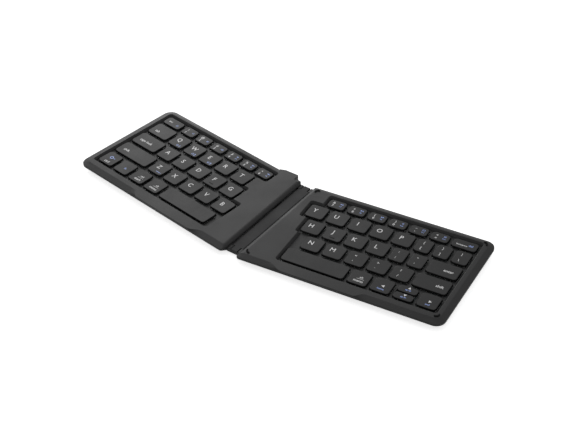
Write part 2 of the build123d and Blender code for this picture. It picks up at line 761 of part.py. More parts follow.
def port_hollow():
    """Mouth of the port and the well behind it."""
    mouth = along_y(port_sketch(PORT_CLEARANCE), PORT_WELL_Y, PORT_FACE_Y)
    half = PORT_WIDTH / 2 + PORT_CLEARANCE
    well = box_between(
        (-PORT_X - half, PORT_BACK_LINE_Y - UNDERSIDE_INSET - RIM_WALL, FLOOR_Z),
        (-PORT_X + half, PORT_WELL_Y, BOARD_TOP_Z + PORT_HEIGHT + PORT_CLEARANCE),
    )
    return [mouth, well]


def ribbon_box(reach, grow):
    half = RIBBON_WIDTH / 2 + grow
    return box_between(
        (-reach, RIBBON_Y - half, BOARD_TOP_Z - grow),
        (reach, RIBBON_Y + half, BOARD_TOP_Z + RIBBON_THICKNESS + grow),
    )


def ribbon_slot():
    """Way for the ribbon cable under the rods, through the spine and both hinge walls."""
    return ribbon_box(HINGE_EDGE_X + HINGE_WALL + PART_CLEARANCE, RIBBON_CLEARANCE)


def flex_cable():
    """Flat ribbon cable; it ends in the hinge walls, beyond which it would bend with a half."""
    return ribbon_box(HINGE_EDGE_X + HINGE_WALL, 0)


# ---- Keys, membrane and plate -------------------------------------------------------------
def keycap(width, depth, homing):
    """Hollow cap with its stem, standing at z = 0 where its skirt ends."""
    height = KEY_TOP_Z - KEY_SKIRT_Z
    skirt = RectangleRounded(width, depth, KEY_CORNER_R)
    top = RectangleRounded(
        width - 2 * KEY_DRAFT, depth - 2 * KEY_DRAFT, KEY_CORNER_R - KEY_DRAFT
    )
    cap = loft([skirt, Pos(0, 0, height) * top], ruled=True)
    cap = fillet(cap.edges().group_by(Axis.Z)[-1], KEY_EDGE_R)
    hollow = RectangleRounded(width - 2 * KEY_WALL, depth - 2 * KEY_WALL, KEY_CORNER_R - KEY_WALL)
    ceiling = height - KEY_TOP_THICKNESS
    cap = cap - extrude(hollow, ceiling)
    cap = cap + Pos(0, 0, ceiling - STEM_LENGTH / 2) * Cylinder(STEM_R, STEM_LENGTH)
    if homing:
        length, thickness, rise = HOMING_BAR
        bar = Box(length, thickness, 2 * rise)
        cap = cap + Pos(0, -HOMING_BAR_OFFSET, height) * bar
    return cap


def keycaps(half):
    """Every keycap in place, as lists of solids by node."""
    nodes = {}
    for node, s, t, width, depth in key_slots(half):
        cap = keycap(width, depth, node in HOMING_KEYS)
        nodes.setdefault(node, []).append(board_place(s, t, KEY_SKIRT_Z) * cap)
    return nodes


def frame_size(width, depth):
    """Width and depth of the outer scissor frame under a key."""
    room = 2 * (KEY_WALL + FRAME_CLEARANCE)
    return min(FRAME_WIDTH, width - room), min(FRAME_WIDTH, depth - room)


def scissor_frame(width, depth, tilt):
    ring = Rectangle(width, depth) - Rectangle(width - 2 * FRAME_BAR, depth - 2 * FRAME_BAR)
    return Rot(tilt, 0, 0) * Pos(0, 0, -FRAME_THICKNESS / 2) * extrude(ring, FRAME_THICKNESS)


def scissors(half):
    """Two crossed frames under every key."""
    frames = []
    middle_z = (MEMBRANE_TOP_Z + KEY_CEILING_Z) / 2
    rise = (KEY_CEILING_Z - MEMBRANE_TOP_Z) / 2 - FRAME_THICKNESS
    for _, s, t, width, depth in key_slots(half):
        frame_width, frame_depth = frame_size(width, depth)
        tilt = degrees(asin(rise / (frame_depth / 2)))
        inner_width = frame_width - 2 * FRAME_BAR - 2 * FRAME_PLAY
        place = board_place(s, t, middle_z)
        frames.append(place * scissor_frame(frame_width, frame_depth, tilt))
        frames.append(place * scissor_frame(inner_width, frame_depth, -tilt))
    return frames


def rubber_domes(half):
    domes = []
    height = KEY_CEILING_Z - STEM_LENGTH - MEMBRANE_TOP_Z
    for _, s, t, width, depth in key_slots(half):
        clear = frame_size(width, depth)[1] / 2 - FRAME_BAR - FRAME_PLAY
        base_r = min(DOME_BASE_R, clear)
        top_r = min(DOME_TOP_R, base_r - FRAME_PLAY)
        dome = Cone(base_r, top_r, height)
        domes.append(board_place(s, t, MEMBRANE_TOP_Z + height / 2) * dome)
    return domes


def support_plate(half):
    return extrude(Pos(0, 0, PLATE_BOTTOM_Z) * key_block(half, PLATE_MARGIN), PLATE_THICKNESS)


def membrane(half):
    return extrude(Pos(0, 0, PLATE_TOP_Z) * key_block(half, MEMBRANE_MARGIN), MEMBRANE_THICKNESS)


# ---- Magnets, screws and bumpers -------------------------------------------------------------
def magnets():
    top = CASE_TOP_Z - MAGNET_COVER
    return [
        board_place(s, MAGNET_T, top - MAGNET_SIZE[2] / 2) * Box(*MAGNET_SIZE)
        for s in MAGNET_POSITIONS
    ]


def screws():
    """Flat-head screws driven up from below."""
    parts = []
    for x, y in screw_places():
        head = Pos(x, y, FOOT_HEIGHT + SCREW_HEAD_HEIGHT / 2) * Cone(
            SCREW_HEAD_R, SCREW_R, SCREW_HEAD_HEIGHT
        )
        shank = Pos(x, y, FOOT_HEIGHT + SCREW_LENGTH / 2) * Cylinder(SCREW_R, SCREW_LENGTH)
        cross = Box(2 * SCREW_R, SCREW_R / 2, SCREW_HEAD_HEIGHT)
        cross = cross + Rot(0, 0, 90) * cross
        parts.append(head + shank - Pos(x, y, FOOT_HEIGHT) * cross)
    return parts


def bumper_places():
    """Arc centre of each corner bumper and the direction its middle faces, in degrees."""
    reach = BUMPER_R * cos(radians(45))
    to_slope = RECESS_MARGIN + RECESS_SLOPE / 2
    rim_s = (RIGHT_MARGIN - to_slope + SIDE_BEVEL) / 2
    front_t = (FRONT_MARGIN - to_slope + FRONT_BEVEL) / 2
    back_margin = HALF_DEPTH - row_span(NUMBER_ROW)[1]
    back_t = HALF_DEPTH - (back_margin - to_slope + BACK_BEVEL) / 2
    hinge_x = -HINGE_EDGE_X - HINGE_ROUND - BUMPER_WIDTH
    outer = [
        (board_place(rim_s + reach, front_t + reach), 225),
        (board_place(rim_s + reach, back_t - reach), 135),
    ]
    front_hinge_s = s_at_x(hinge_x, front_t) - reach
    back_hinge_s = s_at_x(hinge_x, back_t) - reach
    inner = [
        (board_place(front_hinge_s, front_t + reach), 315),
        (board_place(back_hinge_s, back_t - reach), 45),
    ]
    return outer + inner


def bumper_shapes(bottom, top):
    shapes = []
    for place, facing in bumper_places():
        arc = CenterArc((0, 0), BUMPER_R, facing - BUMPER_ARC / 2, BUMPER_ARC)
        outline = Pos(0, 0, bottom) * place * SlotArc(arc, BUMPER_WIDTH)
        shapes.append(extrude(outline, top - bottom))
    return shapes


def corner_bumpers():
    top = CASE_TOP_Z + CLOSED_GAP - BUMPER_CLEARANCE
    return bumper_shapes(CASE_TOP_Z - BUMPER_SOCKET, top)


# ---- Build and write --------------------------------------------------------------------------
def write(node, shapes):
    """Write one node: one solid, or a group of separate solids."""
    solids = [solid for shape in shapes for solid in shape.solids()]
    body = solids[0] if len(solids) == 1 else Compound(children=solids)
    body.label = node
    export_step(body, "parts/" + node + ".step")


def write_half(half):
    """Write everything that both halves have."""
    side = half.side
    turn = mirrored if side == "right" else lambda shape: shape
    top = top_case(half)
    bottom = bottom_case(half) - ribbon_slot()
    if side == "left":
        hollow = port_hollow()
        top = top + port_boss(PARTING_Z, CASE_TOP_Z) - hollow
        bottom = bottom + port_boss(FLOOR_Z - PORT_SHELL, PARTING_Z) - hollow
    else:
        top = top - bumper_shapes(CASE_TOP_Z - BUMPER_SOCKET, CASE_TOP_Z + CLOSED_GAP)
    pieces = {
        "top_case": [top],
        "bottom_case": [bottom],
        "support_plate": [support_plate(half)],
        "membrane": [membrane(half)],
        "hinge_rod": [hinge_rod()],
        "rubber_domes": rubber_domes(half),
        "scissors": scissors(half),
        "rubber_feet": rubber_feet(),
        "magnets": magnets(),
        "screws": screws(),
    }
    for name, shapes in pieces.items():
        write(side + "_" + name, [turn(shape) for shape in shapes])
    for node, caps in keycaps(half).items():
        write(node, [turn(cap) for cap in caps])


write_half(LEFT)
write_half(RIGHT)
write("corner_bumpers", [mirrored(shape) for shape in corner_bumpers()])
write("spine_cover", [spine_cover()])
write("spine_base", [spine_base()])
write("flex_cable", [flex_cable()])
write("battery", [battery()])
write("main_board", [main_board()])
write("charge_port", [charge_port()])
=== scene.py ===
"""Looks of a two-part folding pocket keyboard: finishes, key legends and a plain studio."""

import json
from math import cos, pi, radians, sin

import bmesh
import bpy
from bpy.props import FloatProperty, FloatVectorProperty, PointerProperty
from mathutils import Matrix, Vector


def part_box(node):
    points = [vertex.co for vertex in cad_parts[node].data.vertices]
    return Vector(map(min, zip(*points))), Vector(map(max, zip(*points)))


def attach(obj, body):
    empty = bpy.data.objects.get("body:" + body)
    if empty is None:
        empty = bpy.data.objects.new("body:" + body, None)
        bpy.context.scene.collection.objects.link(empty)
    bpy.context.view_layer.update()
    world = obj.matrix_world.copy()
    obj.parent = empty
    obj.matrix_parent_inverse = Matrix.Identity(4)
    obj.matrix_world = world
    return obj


bl_info = {
    "name": "Folding Pocket Keyboard",
    "version": (1, 0, 0),
    "blender": (4, 5, 0),
    "location": "View3D > Sidebar > Keyboard",
    "description": "Finishes, key legends and a plain studio for a folding pocket keyboard",
    "category": "Object",
}

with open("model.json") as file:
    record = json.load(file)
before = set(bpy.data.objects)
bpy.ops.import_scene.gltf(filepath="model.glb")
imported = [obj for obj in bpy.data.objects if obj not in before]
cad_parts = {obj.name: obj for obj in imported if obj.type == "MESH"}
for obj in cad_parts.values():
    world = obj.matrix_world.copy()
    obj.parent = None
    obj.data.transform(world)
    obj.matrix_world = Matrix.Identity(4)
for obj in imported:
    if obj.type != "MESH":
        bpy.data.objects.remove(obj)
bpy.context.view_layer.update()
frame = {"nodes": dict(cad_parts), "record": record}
NODE_BODY = {
    node: body
    for body, nodes in frame["record"]["behaviour"]["bodies"].items()
    for node in nodes
}
MM = 0.001
LEFT_ROW_TURN = radians(-7.35)  # the left half's rows run down towards the hinge
HINGE_EDGE_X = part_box("right_top_case")[0].x
HOMING_KEYS = ("key_f", "key_j")
HOMING_BAR_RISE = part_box("key_f")[1].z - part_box("key_d")[1].z
PRINT_SHIFT = {-1: (-0.75 * MM, 0.75 * MM), 1: (-1.2 * MM, 0.9 * MM)}  # legends off the keys' middles


# ---- Settings -------------------------------------------------------------------------
class FinishSettings(bpy.types.PropertyGroup):
    """Colours and grain of the moulded parts."""

    case_colour: FloatVectorProperty(
        name="Case", description="Soft-touch plastic of both cases",
        subtype="COLOR", size=3, min=0, max=1, default=(0.0118, 0.0118, 0.0121))
    keycap_colour: FloatVectorProperty(
        name="Key tops", description="Painted tops of the keycaps",
        subtype="COLOR", size=3, min=0, max=1, default=(0.0115, 0.0115, 0.0118))
    # Key sides: near-black colour of the keycaps' upright faces, partly bare plastic and partly painted shade for
    # the shadow in the slots between the keys.
    keycap_side_shade_colour: FloatVectorProperty(
        name="Key sides", description="Bare plastic of the keycaps' sides",
        subtype="COLOR", size=3, min=0, max=1, default=(0.0012, 0.0012, 0.0013))
    spine_colour: FloatVectorProperty(
        name="Spine", description="Plastic of the spine between the halves",
        subtype="COLOR", size=3, min=0, max=1, default=(0.011, 0.011, 0.0114))
    grain: FloatProperty(
        name="Grain", description="Size of the moulded surface grain",
        subtype="DISTANCE", unit="LENGTH", min=0.0001, default=0.0003)
    edge_softness: FloatProperty(
        name="Edge softness", description="Radius that the cases' edges seem rounded to",
        subtype="DISTANCE", unit="LENGTH", min=0, default=0.0006)


class LegendSettings(bpy.types.PropertyGroup):
    """Sizes and inks of the printed legends."""

    letter_height: FloatProperty(
        name="Letter height", description="Height of a capital on a letter key",
        subtype="DISTANCE", unit="LENGTH", default=0.0034)
    letter_weight: FloatProperty(
        name="Letter weight", description="Widening of a letter's strokes, as a share of its size",
        min=0, default=0.006)
    small_weight: FloatProperty(
        name="Small print weight", description="Widening of the strokes of words and signs",
        min=0, default=0.012)
    word_height: FloatProperty(
        name="Word height", description="Height of a tall letter in a word such as shift",
        subtype="DISTANCE", unit="LENGTH", default=0.0021)
    mark_height: FloatProperty(
        name="Mark height", description="Height of signs and numbers on small keys",
        subtype="DISTANCE", unit="LENGTH", default=0.0019)
    ink_thickness: FloatProperty(
        name="Ink thickness", description="Thickness of the printed ink",
        subtype="DISTANCE", unit="LENGTH", default=0.00002)
    main_ink: FloatVectorProperty(
        name="Main ink", description="Ink of the main legends",
        subtype="COLOR", size=3, min=0, max=1, default=(0.72, 0.72, 0.72))
    second_ink: FloatVectorProperty(
        name="Second ink", description="Ink of the second functions",
        subtype="COLOR", size=3, min=0, max=1, default=(0.27, 0.38, 0.78))


class StudioSettings(bpy.types.PropertyGroup):
    """Light, floor and camera."""

    sky_light: FloatProperty(
        name="Sky light", description="Strength of the even light from all round",
        min=0, default=0.6)
    lamp_power: FloatProperty(
        name="Lamp power", description="Power of the large lamp behind and to the left",
        subtype="POWER", unit="POWER", min=0, default=5.7)
    floor_glow: FloatProperty(
        name="Floor glow", description="White added to the floor as the camera sees it",
        min=0, default=0.68)
    camera_azimuth: FloatProperty(
        name="Camera azimuth", description="Turn of the view from straight ahead",
        subtype="ANGLE", unit="ROTATION", default=radians(38.0))
    camera_elevation: FloatProperty(
        name="Camera elevation", description="Height of the view above the desk",
        subtype="ANGLE", unit="ROTATION", default=radians(38.62))
    camera_roll: FloatProperty(
        name="Camera roll", description="Turn of the picture about the line of sight",
        subtype="ANGLE", unit="ROTATION", default=radians(-2.39))
    camera_distance: FloatProperty(
        name="Camera distance", description="Camera to the point that it looks at",
        subtype="DISTANCE", unit="LENGTH", default=0.8795)
    camera_lens: FloatProperty(
        name="Lens", description="Focal length on a 36 mm sensor, in millimetres",
        default=84.04)
    camera_target: FloatVectorProperty(
        name="Camera target", description="Point that the camera looks at",
        subtype="TRANSLATION", unit="LENGTH", size=3, default=(0.0104, 0.0003, 0.0051))


def settings(name):
    return getattr(bpy.context.scene, name)


# ---- Node helpers ------------------------------------------------------------------------
class Finish:
    """A new material with short ways to add nodes to it."""

    def __init__(self, name, colour, roughness, metallic=0.0, specular=0.5):
        self.material = bpy.data.materials.new(name)
        self.material.use_nodes = True
        self.material.diffuse_color = (*colour, 1.0)
        self.tree = self.material.node_tree
        self.shader = self.tree.nodes["Principled BSDF"]
        self.shader.inputs["Base Color"].default_value = (*colour, 1.0)
        self.shader.inputs["Roughness"].default_value = roughness
        self.shader.inputs["Metallic"].default_value = metallic
        self.shader.inputs["Specular IOR Level"].default_value = specular
        self.place = self.add("ShaderNodeTexCoord").outputs["Object"]

    def add(self, kind, **values):
        node = self.tree.nodes.new(kind)
        for key, value in values.items():
            setattr(node, key, value)
        return node

    def link(self, output, target):
        self.tree.links.new(output, target)

    def noise(self, size, detail=3.0, roughness=0.55):
        """Noise whose features are about the given size, in metres."""
        node = self.add("ShaderNodeTexNoise")
        node.inputs["Scale"].default_value = 1.0 / size
        node.inputs["Detail"].default_value = detail
        node.inputs["Roughness"].default_value = roughness
        self.link(self.place, node.inputs["Vector"])
        return node.outputs["Fac"]

    def cells(self, size):
        node = self.add("ShaderNodeTexVoronoi")
        node.inputs["Scale"].default_value = 1.0 / size
        self.link(self.place, node.inputs["Vector"])
        return node.outputs["Distance"]

    def spread(self, value, low, high, out_low=0.0, out_high=1.0):
        """Map a value from one range to another."""
        node = self.add("ShaderNodeMapRange")
        node.inputs["From Min"].default_value = low
        node.inputs["From Max"].default_value = high
        node.inputs["To Min"].default_value = out_low
        node.inputs["To Max"].default_value = out_high
        self.link(value, node.inputs["Value"])
        return node.outputs["Result"]

    def blend(self, factor, first, second):
        """Colour between two colours; each may be a colour or another node's output."""
        node = self.add("ShaderNodeMix", data_type="RGBA")
        self.link(factor, node.inputs["Factor"])
        for name, colour in (("A", first), ("B", second)):
            socket = next(s for s in node.inputs if s.name == name and s.type == "RGBA")
            if isinstance(colour, bpy.types.NodeSocket):
                self.link(colour, socket)
            else:
                socket.default_value = (*colour, 1.0)
        return next(s for s in node.outputs if s.type == "RGBA")

    def colour(self, output):
        self.link(output, self.shader.inputs["Base Color"])

    def roughness(self, output):
        self.link(output, self.shader.inputs["Roughness"])

    def bump(self, height, distance, strength=1.0, under=None):
        node = self.add("ShaderNodeBump")
        node.inputs["Distance"].default_value = distance
        node.inputs["Strength"].default_value = strength
        self.link(height, node.inputs["Height"])
        if under is not None:
            self.link(under, node.inputs["Normal"])
        self.link(node.outputs["Normal"], self.shader.inputs["Normal"])
        return node.outputs["Normal"]

    def softened(self, radius):
        """Normal that rounds off sharp edges to the given radius."""
        node = self.add("ShaderNodeBevel", samples=4)
        node.inputs["Radius"].default_value = radius
        return node.outputs["Normal"]

    def top_facing(self):
        """One on surfaces that face up, nought on upright ones."""
        normal = self.add("ShaderNodeNewGeometry").outputs["Normal"]
        split = self.add("ShaderNodeSeparateXYZ")
        self.link(normal, split.inputs["Vector"])
        return split.outputs["Z"]


def shade(colour, factor):
    return tuple(min(1.0, part * factor) for part in colour)


def moulded(name, colour, grain, roughness=0.5, specular=0.5, softness=0.0):
    """Moulded plastic: fine spark-eroded grain, faint mottling and handled patches."""
    finish = Finish(name, colour, roughness, specular=specular)
    under = finish.softened(softness) if softness > 0 else None
    mottle = finish.noise(0.011, detail=4)
    finish.colour(finish.blend(finish.spread(mottle, 0.3, 0.7), shade(colour, 0.9), shade(colour, 1.1)))
    handled = finish.noise(0.022, detail=5, roughness=0.6)
    finish.roughness(finish.spread(handled, 0.3, 0.7, roughness - 0.05, roughness + 0.06))
    grainy = finish.bump(finish.cells(grain), grain * 0.10, 0.35, under=under)
    finish.bump(finish.noise(grain * 3), grain * 0.12, 0.3, under=grainy)
    return finish


# ---- Finishes ------------------------------------------------------------------------------
def soft_touch(name, brightness=1.0):
    values = settings("keyboard_finish")
    colour = shade(values.case_colour, brightness)
    return moulded(name, colour, values.grain, 0.48, 0.2, values.edge_softness)


def bottom_plastic():
    """Soft-touch plastic whose hinge ears are as dark as the spine beside them."""
    values = settings("keyboard_finish")
    finish = soft_touch("soft_touch_bottom", 0.85)
    base = finish.shader.inputs["Base Color"].links[0].from_socket
    split = finish.add("ShaderNodeSeparateXYZ")
    finish.link(finish.place, split.inputs["Vector"])
    distance = finish.add("ShaderNodeMath", operation="ABSOLUTE")
    finish.link(split.outputs["X"], distance.inputs[0])
    on_half = finish.spread(distance.outputs[0], HINGE_EDGE_X - 0.1 * MM, HINGE_EDGE_X)
    finish.colour(finish.blend(on_half, values.spine_colour, base))
    return finish.material


def keycap_plastic():
    """Dark keycap with a painted top. Its upright sides are coloured near black, partly as bare plastic and partly
    as painted shade for the shadow in the narrow slots between the keys.
    """
    values = settings("keyboard_finish")
    top, side = values.keycap_colour, values.keycap_side_shade_colour
    finish = moulded("keycap_plastic", top, values.grain * 0.8, 0.46, 0.17)
    worn = finish.blend(finish.spread(finish.noise(0.006), 0.3, 0.7), shade(top, 0.94), shade(top, 1.06))
    # Upright faces get the near-black side colour: painted shade for the slots' shadow, partly bare plastic.
    facing = finish.spread(finish.top_facing(), 0.35, 0.75)
    finish.colour(finish.blend(facing, side, worn))
    return finish.material


def spine_plastic():
    values = settings("keyboard_finish")
    return moulded("spine_plastic", values.spine_colour, values.grain, 0.6, 0.2).material


def rubber():
    finish = moulded("black_rubber", (0.003, 0.003, 0.0032), 0.0005, 0.85, 0.12)
    return finish.material


def silicone():
    finish = Finish("silicone", (0.55, 0.56, 0.57), 0.45)
    cloud = finish.spread(finish.noise(0.002), 0.3, 0.7)
    finish.colour(finish.blend(cloud, (0.48, 0.5, 0.51), (0.62, 0.63, 0.63)))
    finish.bump(finish.noise(0.0006), 0.00003, 0.5)
    return finish.material


def natural_nylon():
    finish = Finish("natural_nylon", (0.6, 0.6, 0.57), 0.42)
    streak = finish.spread(finish.noise(0.003), 0.3, 0.7)
    finish.colour(finish.blend(streak, (0.52, 0.52, 0.49), (0.66, 0.66, 0.63)))
    finish.bump(finish.noise(0.0004), 0.00002, 0.4)
    return finish.material


def printed_film():
    """Polyester film with printed silver tracks."""
    finish = Finish("printed_film", (0.1, 0.12, 0.12), 0.3)
    wave = finish.add("ShaderNodeTexWave", wave_type="BANDS", bands_direction="X")
    wave.inputs["Scale"].default_value = 90.0
    wave.inputs["Distortion"].default_value = 1.5
    finish.link(finish.place, wave.inputs["Vector"])
    tracks = finish.spread(wave.outputs["Fac"], 0.82, 0.9)
    finish.colour(finish.blend(tracks, (0.1, 0.12, 0.12), (0.42, 0.43, 0.42)))
    finish.bump(tracks, 0.00002, 0.5)
    return finish.material


def metal(name, colour, roughness, grain, stretch):
    """Metal with drawn lines along one way; stretch scales the noise along X, Y and Z."""
    finish = Finish(name, colour, roughness, metallic=1.0)
    mapping = finish.add("ShaderNodeMapping")
    mapping.inputs["Scale"].default_value = stretch
    finish.link(finish.place, mapping.inputs["Vector"])
    finish.place = mapping.outputs["Vector"]
    lines = finish.noise(grain, detail=4)
    finish.colour(finish.blend(finish.spread(lines, 0.3, 0.7), shade(colour, 0.85), shade(colour, 1.1)))
    finish.roughness(finish.spread(lines, 0.3, 0.7, roughness - 0.08, roughness + 0.1))
    finish.bump(lines, 0.00002, 0.4)
    return finish.material


def foil_pouch():
    finish = Finish("foil_pouch", (0.5, 0.5, 0.52), 0.35, metallic=0.7)
    crumple = finish.noise(0.004, detail=5)
    finish.roughness(finish.spread(crumple, 0.3, 0.7, 0.25, 0.45))
    finish.bump(crumple, 0.0002, 0.4)
    return finish.material


def circuit_board():
    """Green solder mask over copper tracks."""
    finish = Finish("circuit_board", (0.01, 0.09, 0.05), 0.35)
    tracks = finish.spread(finish.cells(0.0016), 0.32, 0.36)
    finish.colour(finish.blend(tracks, (0.01, 0.09, 0.05), (0.02, 0.16, 0.09)))
    finish.bump(tracks, 0.00003, 0.6)
    return finish.material


def amber_film():
    finish = Finish("amber_film", (0.38, 0.14, 0.03), 0.3)
    band = finish.add("ShaderNodeTexWave", wave_type="BANDS", bands_direction="Y")
    band.inputs["Scale"].default_value = 600.0
    finish.link(finish.place, band.inputs["Vector"])
    finish.colour(finish.blend(band.outputs["Fac"], (0.3, 0.1, 0.02), (0.45, 0.18, 0.05)))
    finish.bump(band.outputs["Fac"], 0.00001, 0.4)
    return finish.material


def ink(name, colour):
    """Printed ink: slightly uneven, a little glossier than the key."""
    finish = Finish(name, colour, 0.45)
    patch = finish.spread(finish.noise(0.0008), 0.3, 0.7)
    finish.colour(finish.blend(patch, shade(colour, 0.93), shade(colour, 1.04)))
    finish.bump(finish.noise(0.0003), 0.000004, 0.3)
    return finish.material


def dress(nodes, material):
    """Give CAD nodes a material."""
    for name in nodes:
        for material_slot in frame["nodes"][name].material_slots:
            material_slot.material = material


def nodes_with_slot(*slots):
    return [
        part["node"] for part in frame["record"]["subparts"] if part["material_slot"] in slots
    ]


class KEYBOARD_OT_cases(bpy.types.Operator):
    """Finish the cases in soft-touch plastic"""

    bl_idname = "keyboard.cases"
    bl_label = "Cases"

    def execute(self, context):
        dress(nodes_with_slot("dark_case"), soft_touch("soft_touch_top").material)
        dress(nodes_with_slot("bottom_case"), bottom_plastic())
        return {"FINISHED"}


class KEYBOARD_OT_keycaps(bpy.types.Operator):
    """Finish the keycaps"""

    bl_idname = "keyboard.keycaps"
    bl_label = "Keycaps"

    def execute(self, context):
        dress(nodes_with_slot("keycap"), keycap_plastic())
        return {"FINISHED"}


class KEYBOARD_OT_spine(bpy.types.Operator):
    """Finish the spine and its hinge rods"""

    bl_idname = "keyboard.spine"
    bl_label = "Spine"

    def execute(self, context):
        dress(nodes_with_slot("spine_plastic"), spine_plastic())
        dress(nodes_with_slot("rod_steel"), metal("blackened_steel", (0.03, 0.03, 0.032), 0.4, 0.002, (8, 0.5, 8)))
        return {"FINISHED"}


class KEYBOARD_OT_rubber(bpy.types.Operator):
    """Finish the feet and the corner bumpers in rubber"""

    bl_idname = "keyboard.rubber"
    bl_label = "Feet and bumpers"

    def execute(self, context):
        dress(nodes_with_slot("rubber"), rubber())
        return {"FINISHED"}


class KEYBOARD_OT_inner_parts(bpy.types.Operator):
    """Finish what lies inside the cases"""

    bl_idname = "keyboard.inner_parts"
    bl_label = "Inner parts"

    def execute(self, context):
        dress(nodes_with_slot("silicone"), silicone())
        dress(nodes_with_slot("scissor_plastic"), natural_nylon())
        dress(nodes_with_slot("film"), printed_film())
        dress(nodes_with_slot("plate_metal"), metal("sheet_steel", (0.5, 0.5, 0.51), 0.35, 0.004, (0.4, 6, 1)))
        dress(nodes_with_slot("magnet"), metal("nickel_plate", (0.6, 0.59, 0.56), 0.2, 0.002, (1, 1, 1)))
        dress(nodes_with_slot("battery_foil"), foil_pouch())
        dress(nodes_with_slot("circuit_board"), circuit_board())
        dress(nodes_with_slot("ribbon"), amber_film())
        return {"FINISHED"}


class KEYBOARD_OT_metal_parts(bpy.types.Operator):
    """Finish the charge port and the screws"""

    bl_idname = "keyboard.metal_parts"
    bl_label = "Port and screws"

    def execute(self, context):
        dress(nodes_with_slot("port_steel"), metal("drawn_steel", (0.55, 0.55, 0.56), 0.32, 0.001, (1, 0.3, 1)))
        dress(nodes_with_slot("screw_steel"), metal("black_oxide", (0.05, 0.05, 0.055), 0.4, 0.001, (1, 1, 1)))
        return {"FINISHED"}


# ---- Key legends ----------------------------------------------------------------------------
def key_middles(node, turn):
    """Middle of the top of each key in a node, front row first and left to right."""
    shape = bmesh.new()
    shape.from_mesh(frame["nodes"][node].data)
    bmesh.ops.remove_doubles(shape, verts=shape.verts, dist=0.02 * MM)
    upright = Matrix.Rotation(-turn, 3, "Z")
    unseen = set(shape.verts)
    keys = []
    while unseen:
        island = [unseen.pop()]
        for vertex in island:
            for edge in vertex.link_edges:
                other = edge.other_vert(vertex)
                if other in unseen:
                    unseen.remove(other)
                    island.append(other)
        points = [upright @ vertex.co for vertex in island]
        low = Vector([min(p[i] for p in points) for i in range(3)])
        high = Vector([max(p[i] for p in points) for i in range(3)])
        keys.append(((low.x + high.x) / 2, (low.y + high.y) / 2))
    shape.free()
    keys.sort(key=lambda key: key[1])
    rows = [[keys[0]]]
    for key in keys[1:]:
        if key[1] - rows[-1][-1][1] > 6 * MM:
            rows.append([])
        rows[-1].append(key)
    return [key for row in rows for key in sorted(row, key=lambda k: (round(k[0], 4), k[1]))]


def capital_height():
    """Height of a capital H in Blender's own font at size 1."""
    return max(v.co.y for v in glyph_mesh("H", 1.0, 0.0).vertices)


def glyph_mesh(text, size, boldness):
    """Flat, filled outline of a text, as a new mesh."""
    curve = bpy.data.curves.new("legend_text", "FONT")
    curve.body = text
    curve.size = size
    curve.offset = boldness * size
    curve.resolution_u = 3
    holder = bpy.data.objects.new("legend_text", curve)
    bpy.context.scene.collection.objects.link(holder)
    bpy.context.view_layer.update()
    seen = holder.evaluated_get(bpy.context.evaluated_depsgraph_get())
    mesh = bpy.data.meshes.new_from_object(seen)
    bpy.data.objects.remove(holder)
    bpy.data.curves.remove(curve)
    return mesh


